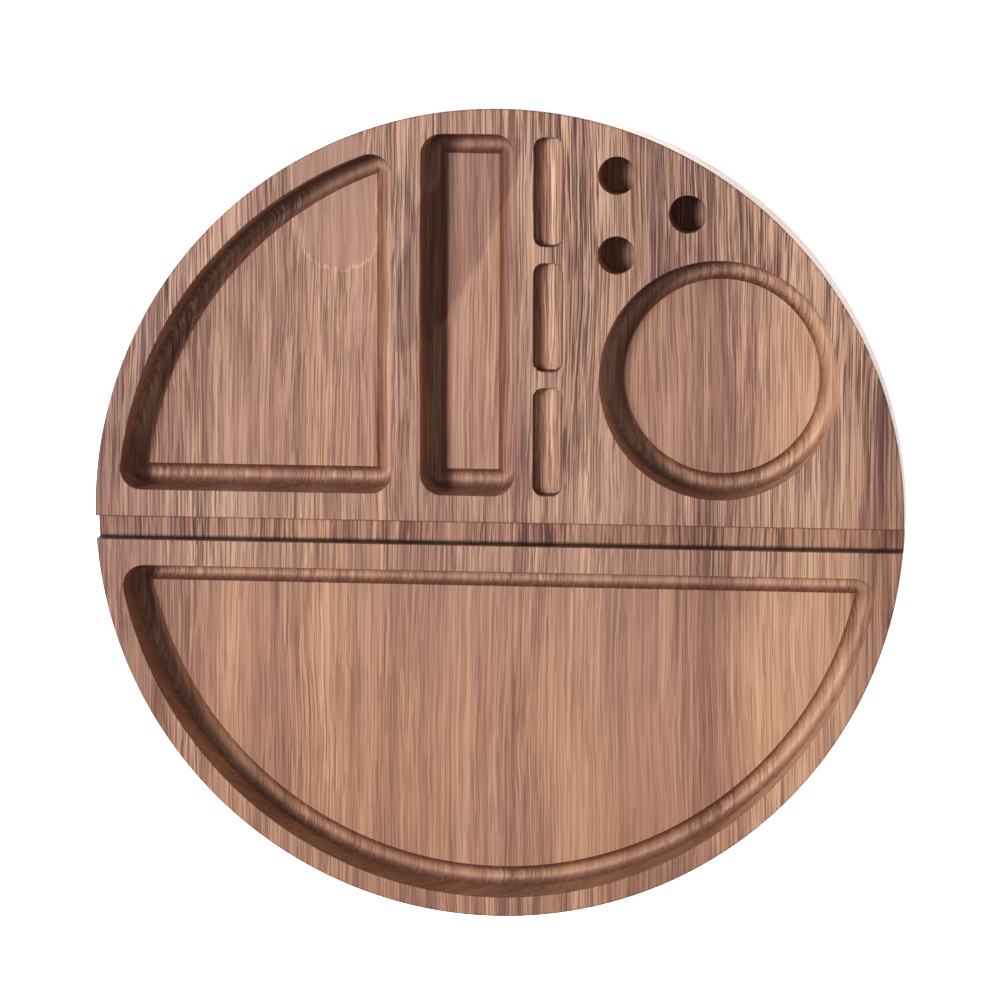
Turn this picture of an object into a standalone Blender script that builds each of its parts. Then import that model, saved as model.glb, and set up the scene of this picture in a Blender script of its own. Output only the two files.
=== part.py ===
"""Round walnut chip and accessory carousel.

A thick round tray with milled pockets turns on a ball race that is hidden under it.
The race stands on a smaller round base with four rubber feet.
Origin: centre of the object's footprint, on the surface it stands on. +Z is up.
+Y points from the half-moon pocket towards the three upright chip slots.
"""

from math import acos, cos, pi, radians, sin, sqrt, tau

import bmesh
import bpy
from mathutils import Matrix, Vector

# ---------------------------------------------------------------- driving dimensions (metres)
GAP = 0.0003                 # air kept between pieces that touch

TRAY_RADIUS = 0.150
TRAY_THICKNESS = 0.026
RIM_ROUNDING = 0.0005        # softened top and bottom arris of the tray

# the four large pockets: upright wall, ball-nose cove, raised flat floor
POCKET_DEPTH = 0.0185
COVE_RADIUS = 0.0042
COVE_DROP = 0.0020           # how far the cove runs below the floor
COVE_CENTRE_DROP = COVE_RADIUS - COVE_DROP
COVE_WIDTH = COVE_RADIUS + sqrt(COVE_RADIUS ** 2 - COVE_CENTRE_DROP ** 2)

OBLONG_WEST, OBLONG_EAST = -0.0279, 0.0068
OBLONG_SOUTH, OBLONG_NORTH = 0.0080, 0.1405
QUARTER_RADIUS = 0.1413
QUARTER_SOUTH, QUARTER_EAST = 0.0082, -0.0388
ROUND_CENTRE = (0.0818, 0.0516)
ROUND_RADIUS = 0.0437
MOON_RADIUS = 0.1425
MOON_NORTH = -0.0205

# three upright chip slots with half-round bottoms
SLOT_CENTRE_X = 0.0191
SLOT_WIDTH, SLOT_LENGTH = 0.0108, 0.0396
SLOT_DEPTH = 0.0066
SLOT_CORNER = 0.0038
SLOT_CENTRES_Y = (0.0281, 0.0739, 0.1197)
SLOT_STATIONS = 8            # columns of points across a slot

# three deep holes
HOLE_RADIUS, HOLE_DEPTH = 0.00685, 0.0200
HOLE_CENTRES = ((0.0441, 0.1260), (0.0700, 0.1122), (0.0441, 0.0970))

# cross groove from rim to rim: rounded foot at the back, steep front wall
GROOVE_BACK, GROOVE_FRONT = -0.0020, -0.0106
GROOVE_DEPTH = 0.0073
GROOVE_FOOT_RADIUS = 0.0012
GROOVE_FRONT_LEAN = 0.0003
GROOVE_FOOT_STEPS = 4

# turntable
FOOT_HEIGHT = 0.006
FOOT_TOP_RADIUS, FOOT_SOLE_RADIUS = 0.0080, 0.0070
FOOT_CIRCLE = 0.078
FOOT_COUNT = 4
FOOT_TAPER_SHARE = 0.4       # lower share of a foot that tapers to its sole
BASE_RADIUS, BASE_THICKNESS = 0.095, 0.009
BASE_BEVEL = 0.001
RACE_PLATE = 0.0022
RACE_CIRCLE = 0.060
BALL_RADIUS, BALL_COUNT = 0.0025, 12
BALL_CLEARANCE = 0.00025
RACE_GROOVE_STEPS = 4
RACE_FACE_GAP = 0.0030       # between the faces of the two race rings
LOWER_RACE_INNER, LOWER_RACE_OUTER = 0.0380, 0.0665
UPPER_RACE_INNER, UPPER_RACE_OUTER = 0.0535, 0.0820
CAGE_INNER, CAGE_OUTER, CAGE_THICKNESS = 0.0550, 0.0650, 0.0012
LOWER_SCREW_CIRCLE, LOWER_SCREW_COUNT = 0.0440, 4
UPPER_SCREW_CIRCLE, UPPER_SCREW_COUNT = 0.0760, 6
ACCESS_HOLE_RADIUS = 0.0060
ACCESS_HOLE_ANGLE = radians(90)
DIAGONAL = radians(45)       # where a ring of four screws or feet starts

# fasteners
SCREW_HEAD_RADIUS, SCREW_HEAD_HEIGHT, SCREW_RADIUS = 0.0030, 0.0016, 0.0015
PAN_CROWN_SHARE, PAN_SHOULDER_SHARE = 0.7, 0.4   # flat crown across, sloped shoulder down
RACE_SCREW_GRIP = 0.0046     # thread length in the wood
FOOT_SCREW_GRIP = 0.0060
FOOT_RECESS = 0.0030
PIVOT_RADIUS = 0.0030
PIVOT_HEAD_RADIUS, PIVOT_HEAD_HEIGHT = 0.0065, 0.0028
PIVOT_CROWN_RADIUS, PIVOT_SHOULDER = 0.0055, 0.0010
PIVOT_TIP_RADIUS, PIVOT_TIP_CHAMFER = 0.0020, 0.0010
WASHER_RADIUS, WASHER_THICKNESS = 0.0068, 0.0010
BUSH_RADIUS, BUSH_FLANGE_RADIUS, BUSH_FLANGE = 0.0050, 0.0075, 0.0010
INSERT_RADIUS, INSERT_LENGTH = 0.0045, 0.0120
COUNTERBORE_RADIUS, COUNTERBORE_DEPTH = 0.0085, 0.0048

# round steps
TRAY_STEPS, RING_STEPS, BASE_STEPS, SMALL_STEPS, HOLE_STEPS = 96, 40, 48, 16, 10
COVE_STEPS, CORNER_STEPS = 4, 4
QUARTER_STEPS, ROUND_STEPS, MOON_STEPS = 14, 32, 32
CORNER_TURN = radians(25)    # a sharper turn than this is a corner
SHARP_EDGE = radians(35)     # edges that turn more than this stay crisp
MERGE_DISTANCE = 1e-7

# ---------------------------------------------------------------- heights
BASE_BOTTOM = FOOT_HEIGHT
BASE_TOP = BASE_BOTTOM + BASE_THICKNESS
LOWER_FACE = BASE_TOP + GAP + RACE_PLATE
BALL_HEIGHT = LOWER_FACE + RACE_FACE_GAP / 2
UPPER_FACE = LOWER_FACE + RACE_FACE_GAP
TRAY_BOTTOM = UPPER_FACE + RACE_PLATE + GAP
TRAY_TOP = TRAY_BOTTOM + TRAY_THICKNESS
CUT_CLEAR = 0.002            # how far a cutter runs past the face it opens
COUNTERBORE_TOP = BASE_BOTTOM + COUNTERBORE_DEPTH
WASHER_TOP = COUNTERBORE_TOP - BUSH_FLANGE - 2 * GAP
HEAD_TOP = WASHER_TOP - WASHER_THICKNESS - GAP


# ---------------------------------------------------------------- helpers
def clear_scene():
    for old in list(bpy.data.objects):
        bpy.data.objects.remove(old, do_unlink=True)


def finish_material(name, colour, roughness, metallic):
    material = bpy.data.materials.new(name)
    material.use_nodes = True
    shader = material.node_tree.nodes["Principled BSDF"]
    shader.inputs["Base Color"].default_value = (*colour, 1.0)
    shader.inputs["Roughness"].default_value = roughness
    shader.inputs["Metallic"].default_value = metallic
    return material


def make_object(name, bm, material, parent=None, place=(0.0, 0.0, 0.0)):
    bmesh.ops.remove_doubles(bm, verts=bm.verts, dist=MERGE_DISTANCE)
    bmesh.ops.recalc_face_normals(bm, faces=bm.faces)
    mesh = bpy.data.meshes.new(name)
    bm.to_mesh(mesh)
    bm.free()
    mesh.shade_smooth()
    mesh.set_sharp_from_angle(angle=SHARP_EDGE)
    if material:
        mesh.materials.append(material)
    piece = bpy.data.objects.new(name, mesh)
    bpy.context.scene.collection.objects.link(piece)
    piece.location = place
    piece.parent = parent
    return piece


def ring_points(count, radius, start=0.0):
    return [(radius * cos(start + tau * k / count), radius * sin(start + tau * k / count))
            for k in range(count)]


def skin_rings(bm, rings):
    """Joins a stack of rings of equal length with quads, and caps its two ends."""
    loops = [[bm.verts.new(point) for point in ring] for ring in rings]
    count = len(loops[0])
    for low, high in zip(loops, loops[1:]):
        for i in range(count):
            j = (i + 1) % count
            bm.faces.new((low[i], low[j], high[j], high[i]))
    bm.faces.new(list(reversed(loops[0])))
    bm.faces.new(loops[-1])


def turned(name, profile, steps, material, parent=None, place=(0.0, 0.0, 0.0)):
    """Revolves a closed (radius, height) outline about Z. It may touch the axis."""
    bm = bmesh.new()
    circles = []
    for radius, height in profile:
        circles.append([bm.verts.new((x, y, height)) for x, y in ring_points(steps, radius)])
    for index, (radius, _) in enumerate(profile):
        after = (index + 1) % len(profile)
        if radius == 0.0 and profile[after][0] == 0.0:
            continue
        for k in range(steps):
            m = (k + 1) % steps
            bm.faces.new((circles[index][k], circles[index][m], circles[after][m], circles[after][k]))
    return make_object(name, bm, material, parent, place)


def plate_ring(inner, outer, low, high):
    """Outline of a flat ring, for turned()."""
    return [(inner, low), (outer, low), (outer, high), (inner, high)]


def drill(bm, x, y, low, high, radius, steps=HOLE_STEPS):
    """Adds one upright cylinder to a cutter."""
    middle = Matrix.Translation((x, y, (low + high) / 2))
    bmesh.ops.create_cone(bm, cap_ends=True, segments=steps, radius1=radius, radius2=radius,
                          depth=high - low, matrix=middle)


def cut(piece, name, bm):
    """Cuts a bmesh out of a piece with a live Boolean modifier."""
    cutter = make_object("cutter_" + name, bm, None, piece.parent, piece.location)
    cutter.hide_render = True
    cutter.display_type = "WIRE"
    modifier = piece.modifiers.new(name, "BOOLEAN")
    modifier.operation = "DIFFERENCE"
    modifier.solver = "EXACT"
    modifier.object = cutter


# ---------------------------------------------------------------- pocket outlines
def arc(radius, start, end, steps):
    angles = [start + (end - start) * k / steps for k in range(steps + 1)]
    return [(radius * cos(angle), radius * sin(angle)) for angle in angles]


def oblong_floor():
    west, east = OBLONG_WEST + COVE_WIDTH, OBLONG_EAST - COVE_WIDTH
    south, north = OBLONG_SOUTH + COVE_WIDTH, OBLONG_NORTH - COVE_WIDTH
    return [(west, south), (east, south), (east, north), (west, north)]


def quarter_floor():
    radius = QUARTER_RADIUS - COVE_WIDTH
    south, east = QUARTER_SOUTH + COVE_WIDTH, QUARTER_EAST - COVE_WIDTH
    start = acos(east / radius)
    end = pi - acos(sqrt(radius ** 2 - south ** 2) / radius)
    return arc(radius, start, end, QUARTER_STEPS) + [(east, south)]


def round_floor():
    radius = ROUND_RADIUS - COVE_WIDTH
    return [(ROUND_CENTRE[0] + x, ROUND_CENTRE[1] + y) for x, y in ring_points(ROUND_STEPS, radius)]


def moon_floor():
    radius = MOON_RADIUS - COVE_WIDTH
    north = MOON_NORTH - COVE_WIDTH
    half_angle = acos(-north / radius)
    return arc(radius, -pi / 2 - half_angle, -pi / 2 + half_angle, MOON_STEPS)


def offset_ring(outline, distance, height):
    """Moves a convex outline outwards; real corners become fans of CORNER_STEPS steps."""
    ring = []
    count = len(outline)
    for i in range(count):
        before, here, after = (Vector(outline[(i + step) % count]) for step in (-1, 0, 1))
        into, out = (here - before).normalized(), (after - here).normalized()
        first, last = Vector((into.y, -into.x)), Vector((out.y, -out.x))
        turn = first.angle(last)
        if turn < CORNER_TURN:
            middle = (first + last).normalized()
            ring.append((here + middle * (distance / cos(turn / 2))).to_3d())
        else:
            for k in range(CORNER_STEPS + 1):
                way = Matrix.Rotation(turn * k / CORNER_STEPS, 2) @ first
                ring.append((here + way * distance).to_3d())
    for point in ring:
        point.z = height
    return ring


def pocket_cutter(outline):
    """Flat floor, cove that dips below it, upright wall that runs out of the top face."""
    floor = TRAY_TOP - POCKET_DEPTH
    centre_height = floor + COVE_CENTRE_DROP
    centre_offset = COVE_WIDTH - COVE_RADIUS
    first = -pi / 2 - acos(COVE_CENTRE_DROP / COVE_RADIUS)
    rings = []
    for k in range(COVE_STEPS + 1):
        angle = first * (1 - k / COVE_STEPS)
        distance = centre_offset + COVE_RADIUS * cos(angle)
        rings.append(offset_ring(outline, max(distance, 0.0), centre_height + COVE_RADIUS * sin(angle)))
    rings.append(offset_ring(outline, COVE_WIDTH, TRAY_TOP + CUT_CLEAR))
    bm = bmesh.new()
    skin_rings(bm, rings)
    return bm


def slot_cutter(centre_y):
    """Rounded rectangle in plan; each column of points ends on the half-round bottom."""
    half_width, half_length = SLOT_WIDTH / 2, SLOT_LENGTH / 2
    top = TRAY_TOP + CUT_CLEAR
    bm = bmesh.new()
    rings = []
    for k in range(SLOT_STATIONS + 1):
        x = -half_width * cos(pi * k / SLOT_STATIONS)
        into_corner = max(abs(x) - (half_width - SLOT_CORNER), 0.0)
        reach = half_length - SLOT_CORNER + sqrt(max(SLOT_CORNER ** 2 - into_corner ** 2, 0.0))
        low = TRAY_TOP - SLOT_DEPTH + half_width - sqrt(max(half_width ** 2 - x ** 2, 0.0))
        corners = [(-reach, low), (reach, low), (reach, top), (-reach, top)]
        rings.append([(SLOT_CENTRE_X + x, centre_y + along, height) for along, height in corners])
    skin_rings(bm, rings)
    return bm


def groove_cutter():
    floor = TRAY_TOP - GROOVE_DEPTH
    top = TRAY_TOP + CUT_CLEAR
    lean = GROOVE_FRONT_LEAN * (GROOVE_DEPTH + CUT_CLEAR) / GROOVE_DEPTH
    section = [(GROOVE_FRONT + GROOVE_FRONT_LEAN, floor)]
    foot_y, foot_z = GROOVE_BACK - GROOVE_FOOT_RADIUS, floor + GROOVE_FOOT_RADIUS
    for k in range(GROOVE_FOOT_STEPS + 1):
        angle = -pi / 2 * (1 - k / GROOVE_FOOT_STEPS)
        section.append((foot_y + GROOVE_FOOT_RADIUS * cos(angle), foot_z + GROOVE_FOOT_RADIUS * sin(angle)))
    section += [(GROOVE_BACK, top), (GROOVE_FRONT + GROOVE_FRONT_LEAN - lean, top)]
    reach = TRAY_RADIUS + CUT_CLEAR
    bm = bmesh.new()
    skin_rings(bm, [[(x, y, z) for y, z in section] for x in (-reach, reach)])
    return bm


# ---------------------------------------------------------------- the tray and what turns with it
def build_tray(materials, parent):
    inner = TRAY_RADIUS - RIM_ROUNDING
    profile = [(0.0, TRAY_BOTTOM), (inner, TRAY_BOTTOM), (TRAY_RADIUS, TRAY_BOTTOM + RIM_ROUNDING),
               (TRAY_RADIUS, TRAY_TOP - RIM_ROUNDING), (inner, TRAY_TOP), (0.0, TRAY_TOP)]
    tray = turned("tray_board", profile, TRAY_STEPS, materials["walnut"], parent)
    cut(tray, "oblong_pocket", pocket_cutter(oblong_floor()))
    cut(tray, "quarter_pocket", pocket_cutter(quarter_floor()))
    cut(tray, "round_recess", pocket_cutter(round_floor()))
    cut(tray, "half_moon_pocket", pocket_cutter(moon_floor()))
    for number, centre_y in enumerate(SLOT_CENTRES_Y, 1):
        cut(tray, "chip_slot_%d" % number, slot_cutter(centre_y))
    cut(tray, "cross_groove", groove_cutter())
    holes = bmesh.new()
    for x, y in HOLE_CENTRES:
        drill(holes, x, y, TRAY_TOP - HOLE_DEPTH, TRAY_TOP + CUT_CLEAR, HOLE_RADIUS, SMALL_STEPS)
    for x, y in ring_points(UPPER_SCREW_COUNT, UPPER_SCREW_CIRCLE):
        drill(holes, x, y, TRAY_BOTTOM - CUT_CLEAR, TRAY_BOTTOM + RACE_SCREW_GRIP + GAP, SCREW_RADIUS + GAP)
    drill(holes, 0.0, 0.0, TRAY_BOTTOM - CUT_CLEAR, TRAY_BOTTOM + INSERT_LENGTH + 2 * GAP,
          INSERT_RADIUS + GAP, SMALL_STEPS)
    cut(tray, "holes", holes)


def race_groove(face, side):
    """Half-open arc of the ball track in a ring face. side is 1 for a groove below the ball."""
    radius = BALL_RADIUS + BALL_CLEARANCE
    half = acos((RACE_FACE_GAP / 2) / radius)
    points = []
    for k in range(RACE_GROOVE_STEPS + 1):
        angle = half - 2 * half * k / RACE_GROOVE_STEPS
        points.append((RACE_CIRCLE + radius * sin(angle), BALL_HEIGHT - side * radius * cos(angle)))
    points[0] = (points[0][0], face)
    points[-1] = (points[-1][0], face)
    return points


def build_upper_race(materials, parent):
    back = UPPER_FACE + RACE_PLATE
    groove = list(reversed(race_groove(UPPER_FACE, -1)))
    profile = [(UPPER_RACE_INNER, back), (UPPER_RACE_INNER, UPPER_FACE)] + groove
    profile += [(UPPER_RACE_OUTER, UPPER_FACE), (UPPER_RACE_OUTER, back)]
    ring = turned("upper_race_ring", profile, RING_STEPS, materials["zinc"], parent)
    holes = bmesh.new()
    for x, y in ring_points(UPPER_SCREW_COUNT, UPPER_SCREW_CIRCLE):
        drill(holes, x, y, UPPER_FACE - CUT_CLEAR, back + CUT_CLEAR, SCREW_RADIUS + GAP)
    cut(ring, "upper_screw_holes", holes)


def build_lower_race(materials, parent):
    back = LOWER_FACE - RACE_PLATE
    groove = race_groove(LOWER_FACE, 1)
    profile = [(LOWER_RACE_INNER, back), (LOWER_RACE_OUTER, back), (LOWER_RACE_OUTER, LOWER_FACE)] + groove
    profile += [(LOWER_RACE_INNER, LOWER_FACE)]
    ring = turned("lower_race_ring", profile, RING_STEPS, materials["zinc"], parent)
    holes = bmesh.new()
    for x, y in ring_points(LOWER_SCREW_COUNT, LOWER_SCREW_CIRCLE, DIAGONAL):
        drill(holes, x, y, back - CUT_CLEAR, LOWER_FACE + CUT_CLEAR, SCREW_RADIUS + GAP)
    cut(ring, "lower_screw_holes", holes)


def build_cage(materials, parent):
    low, high = BALL_HEIGHT - CAGE_THICKNESS / 2, BALL_HEIGHT + CAGE_THICKNESS / 2
    profile = plate_ring(CAGE_INNER, CAGE_OUTER, low, high)
    cage = turned("ball_cage", profile, RING_STEPS, materials["nylon"], parent)
    pockets = bmesh.new()
    for x, y in ring_points(BALL_COUNT, RACE_CIRCLE):
        drill(pockets, x, y, low - CUT_CLEAR, high + CUT_CLEAR, BALL_RADIUS + GAP, SMALL_STEPS)
    cut(cage, "ball_pockets", pockets)


def build_balls(materials, parent):
    for number, (x, y) in enumerate(ring_points(BALL_COUNT, RACE_CIRCLE), 1):
        bm = bmesh.new()
        bmesh.ops.create_icosphere(bm, subdivisions=2, radius=BALL_RADIUS)
        make_object("bearing_ball_%02d" % number, bm, materials["steel"], parent, (x, y, BALL_HEIGHT))


def screw_profile(head_low, head_high, tip):
    """Pan head and plain shank. The head lies between two heights, and tip is the far end."""
    up = 1.0 if tip > head_high else -1.0
    seat, crown = (head_high, head_low) if up > 0 else (head_low, head_high)
    shoulder = crown + up * SCREW_HEAD_HEIGHT * PAN_SHOULDER_SHARE
    return [(0.0, crown), (SCREW_HEAD_RADIUS * PAN_CROWN_SHARE, crown), (SCREW_HEAD_RADIUS, shoulder),
            (SCREW_HEAD_RADIUS, seat), (SCREW_RADIUS, seat), (SCREW_RADIUS, tip - up * SCREW_RADIUS),
            (0.0, tip)]


def build_screws(stem, places, head_low, tip, materials, parent):
    for number, (x, y) in enumerate(places, 1):
        profile = screw_profile(head_low, head_low + SCREW_HEAD_HEIGHT, tip)
        turned("%s_%d" % (stem, number), profile, HOLE_STEPS, materials["steel"], parent, (x, y, 0.0))


def build_pivot(materials, tray_parent, base_parent):
    head_low = HEAD_TOP - PIVOT_HEAD_HEIGHT
    tip = TRAY_BOTTOM + INSERT_LENGTH - GAP
    bolt = [(0.0, head_low), (PIVOT_CROWN_RADIUS, head_low),
            (PIVOT_HEAD_RADIUS, head_low + PIVOT_SHOULDER), (PIVOT_HEAD_RADIUS, HEAD_TOP),
            (PIVOT_RADIUS, HEAD_TOP), (PIVOT_RADIUS, tip - PIVOT_TIP_CHAMFER), (PIVOT_TIP_RADIUS, tip),
            (0.0, tip)]
    turned("pivot_bolt", bolt, SMALL_STEPS, materials["steel"], tray_parent)
    bore = PIVOT_RADIUS + GAP
    washer_low = WASHER_TOP - WASHER_THICKNESS
    washer = plate_ring(bore, WASHER_RADIUS, washer_low, WASHER_TOP)
    turned("thrust_washer", washer, SMALL_STEPS, materials["steel"], tray_parent)
    insert = plate_ring(bore, INSERT_RADIUS, TRAY_BOTTOM, TRAY_BOTTOM + INSERT_LENGTH)
    turned("threaded_insert", insert, SMALL_STEPS, materials["brass"], tray_parent)
    flange_low = COUNTERBORE_TOP - GAP - BUSH_FLANGE
    flange_high = flange_low + BUSH_FLANGE
    bush = [(bore, flange_low), (BUSH_FLANGE_RADIUS, flange_low), (BUSH_FLANGE_RADIUS, flange_high),
            (BUSH_RADIUS, flange_high), (BUSH_RADIUS, BASE_TOP), (bore, BASE_TOP)]
    turned("pivot_bush", bush, SMALL_STEPS, materials["nylon"], base_parent)


# ---------------------------------------------------------------- the base and its feet
def build_base(materials, parent):
    bore = BUSH_RADIUS + GAP
    flat = BASE_RADIUS - BASE_BEVEL
    profile = [(COUNTERBORE_RADIUS, BASE_BOTTOM), (flat, BASE_BOTTOM),
               (BASE_RADIUS, BASE_BOTTOM + BASE_BEVEL), (BASE_RADIUS, BASE_TOP - BASE_BEVEL),
               (flat, BASE_TOP), (bore, BASE_TOP), (bore, COUNTERBORE_TOP),
               (COUNTERBORE_RADIUS, COUNTERBORE_TOP)]
    base = turned("base_disc", profile, BASE_STEPS, materials["walnut"], parent)
    holes = bmesh.new()
    for x, y in ring_points(LOWER_SCREW_COUNT, LOWER_SCREW_CIRCLE, DIAGONAL):
        drill(holes, x, y, BASE_TOP - RACE_SCREW_GRIP - GAP, BASE_TOP + CUT_CLEAR, SCREW_RADIUS + GAP)
    for x, y in ring_points(FOOT_COUNT, FOOT_CIRCLE, DIAGONAL):
        drill(holes, x, y, BASE_BOTTOM - CUT_CLEAR, BASE_BOTTOM + FOOT_SCREW_GRIP + GAP, SCREW_RADIUS + GAP)
    drill(holes, UPPER_SCREW_CIRCLE * cos(ACCESS_HOLE_ANGLE), UPPER_SCREW_CIRCLE * sin(ACCESS_HOLE_ANGLE),
          BASE_BOTTOM - CUT_CLEAR, BASE_TOP + CUT_CLEAR, ACCESS_HOLE_RADIUS, SMALL_STEPS)
    cut(base, "base_holes", holes)


def build_feet(materials, parent):
    top = FOOT_HEIGHT - GAP
    hole, recess = SCREW_RADIUS + GAP, SCREW_HEAD_RADIUS + 2 * GAP
    profile = [(recess, 0.0), (FOOT_SOLE_RADIUS, 0.0), (FOOT_TOP_RADIUS, top * FOOT_TAPER_SHARE),
               (FOOT_TOP_RADIUS, top), (hole, top), (hole, FOOT_RECESS), (recess, FOOT_RECESS)]
    for number, (x, y) in enumerate(ring_points(FOOT_COUNT, FOOT_CIRCLE, DIAGONAL), 1):
        turned("rubber_foot_%d" % number, profile, SMALL_STEPS, materials["rubber"], parent, (x, y, 0.0))


def make_materials():
    return {
        "walnut": finish_material("oiled_walnut", (0.36, 0.21, 0.145), 0.55, 0.0),
        "zinc": finish_material("zinc_plated_steel", (0.62, 0.63, 0.65), 0.35, 1.0),
        "steel": finish_material("bright_steel", (0.72, 0.72, 0.73), 0.22, 1.0),
        "brass": finish_material("plain_brass", (0.78, 0.57, 0.25), 0.30, 1.0),
        "nylon": finish_material("white_nylon", (0.82, 0.81, 0.77), 0.50, 0.0),
        "rubber": finish_material("black_rubber", (0.03, 0.03, 0.03), 0.75, 0.0),
    }


def make_axis(name):
    """Empty on the turning axis, which a moving group hangs from."""
    axis = bpy.data.objects.new(name, None)
    bpy.context.scene.collection.objects.link(axis)
    return axis


def main():
    clear_scene()
    materials = make_materials()
    base_axis, tray_axis, cage_axis = (make_axis(name) for name in ("base_axis", "tray_axis", "cage_axis"))
    build_tray(materials, tray_axis)
    build_upper_race(materials, tray_axis)
    build_screws("upper_race_screw", ring_points(UPPER_SCREW_COUNT, UPPER_SCREW_CIRCLE),
                 UPPER_FACE - GAP - SCREW_HEAD_HEIGHT, TRAY_BOTTOM + RACE_SCREW_GRIP, materials, tray_axis)
    build_cage(materials, cage_axis)
    build_balls(materials, cage_axis)
    build_lower_race(materials, base_axis)
    build_screws("lower_race_screw", ring_points(LOWER_SCREW_COUNT, LOWER_SCREW_CIRCLE, DIAGONAL),
                 LOWER_FACE + GAP, BASE_TOP - RACE_SCREW_GRIP, materials, base_axis)
    build_base(materials, base_axis)
    build_pivot(materials, tray_axis, base_axis)
    build_feet(materials, base_axis)
    build_screws("foot_screw", ring_points(FOOT_COUNT, FOOT_CIRCLE, DIAGONAL),
                 FOOT_RECESS - GAP - SCREW_HEAD_HEIGHT, BASE_BOTTOM + FOOT_SCREW_GRIP, materials, base_axis)


main()
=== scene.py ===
"""Round walnut chip carousel: fine meshes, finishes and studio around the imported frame.

The tray, the base, the ball race, the pivot and the feet are rebuilt here as finished pieces.
Each one stands for its solid in the frame and rides on the same body. Metres, +Z up.
"""

from math import acos, cos, pi, radians, sin, sqrt, tan, tau

import bmesh
import bpy
from bpy.props import FloatProperty, FloatVectorProperty, IntProperty, PointerProperty
from mathutils import Matrix, Vector


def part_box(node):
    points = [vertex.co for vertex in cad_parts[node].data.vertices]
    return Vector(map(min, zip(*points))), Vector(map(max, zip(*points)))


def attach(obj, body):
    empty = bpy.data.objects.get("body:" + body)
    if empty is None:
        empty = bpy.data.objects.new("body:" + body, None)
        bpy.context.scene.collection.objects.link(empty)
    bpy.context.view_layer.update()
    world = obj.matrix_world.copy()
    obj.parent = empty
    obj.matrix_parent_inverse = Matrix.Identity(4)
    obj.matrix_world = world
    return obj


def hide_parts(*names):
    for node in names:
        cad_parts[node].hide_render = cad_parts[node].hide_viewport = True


bl_info = {
    "name": "Walnut Chip Carousel",
    "version": (1, 0, 0),
    "blender": (4, 5, 0),
    "location": "View3D > Sidebar > Carousel",
    "description": "Builds a round milled walnut tray on a hidden ball-race turntable",
    "category": "Object",
}

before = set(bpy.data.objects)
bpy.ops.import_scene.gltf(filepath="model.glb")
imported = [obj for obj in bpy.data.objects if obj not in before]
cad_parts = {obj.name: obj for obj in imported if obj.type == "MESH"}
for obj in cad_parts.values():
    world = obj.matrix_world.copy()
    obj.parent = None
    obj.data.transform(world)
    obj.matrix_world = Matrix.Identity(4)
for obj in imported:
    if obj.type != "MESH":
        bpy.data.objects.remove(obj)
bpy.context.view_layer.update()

# ---- places read from the frame
TRAY_LOW, TRAY_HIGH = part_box("tray_board")
TRAY_BOTTOM, TRAY_TOP, TRAY_RADIUS = TRAY_LOW.z, TRAY_HIGH.z, TRAY_HIGH.x
BASE_LOW, BASE_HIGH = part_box("base_disc")
BASE_BOTTOM, BASE_TOP, BASE_RADIUS = BASE_LOW.z, BASE_HIGH.z, BASE_HIGH.x
LOWER_LOW, LOWER_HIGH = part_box("lower_race_ring")
UPPER_LOW, UPPER_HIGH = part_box("upper_race_ring")
CAGE_LOW, CAGE_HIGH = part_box("ball_cage")
BALL_LOW, BALL_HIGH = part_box("bearing_ball_01")
BOLT_LOW, BOLT_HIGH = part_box("pivot_bolt")
WASHER_LOW, WASHER_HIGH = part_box("thrust_washer")
BUSH_LOW, BUSH_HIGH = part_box("pivot_bush")
INSERT_LOW, INSERT_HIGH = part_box("threaded_insert")
FOOT_LOW, FOOT_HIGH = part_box("rubber_foot_1")
BALL_HEIGHT = (BALL_LOW.z + BALL_HIGH.z) / 2
BALL_RADIUS = (BALL_HIGH.z - BALL_LOW.z) / 2
GAP = 0.0003                 # air kept between pieces that touch

# ---- the tray's layout
OBLONG_WEST, OBLONG_EAST = -0.0279, 0.0068
OBLONG_SOUTH, OBLONG_NORTH = 0.0080, 0.1405
QUARTER_RADIUS = 0.1413
QUARTER_SOUTH, QUARTER_EAST = 0.0082, -0.0388
ROUND_CENTRE, ROUND_RADIUS = (0.0818, 0.0516), 0.0437
MOON_RADIUS, MOON_NORTH = 0.1425, -0.0205
SLOT_CENTRE_X, SLOT_CENTRES_Y = 0.0191, (0.0281, 0.0739, 0.1197)
SLOT_WIDTH, SLOT_LENGTH, SLOT_CORNER = 0.0108, 0.0396, 0.0038
HOLE_RADIUS = 0.00685
HOLE_CENTRES = ((0.0441, 0.1260), (0.0700, 0.1122), (0.0441, 0.0970))
GROOVE_BACK, GROOVE_FRONT = -0.0020, -0.0106
GROOVE_FOOT_RADIUS, GROOVE_FRONT_LEAN = 0.0012, 0.0003
CUT_CLEAR = 0.002            # how far a cutter runs past the face it opens

# ---- the turntable's layout
RACE_CIRCLE = 0.060
BALL_CLEARANCE = 0.00025
LOWER_RACE_INNER, UPPER_RACE_INNER = 0.0380, 0.0535
CAGE_INNER = 0.0550
DIAGONAL = radians(45)       # where a ring of four screws or feet starts
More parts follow.
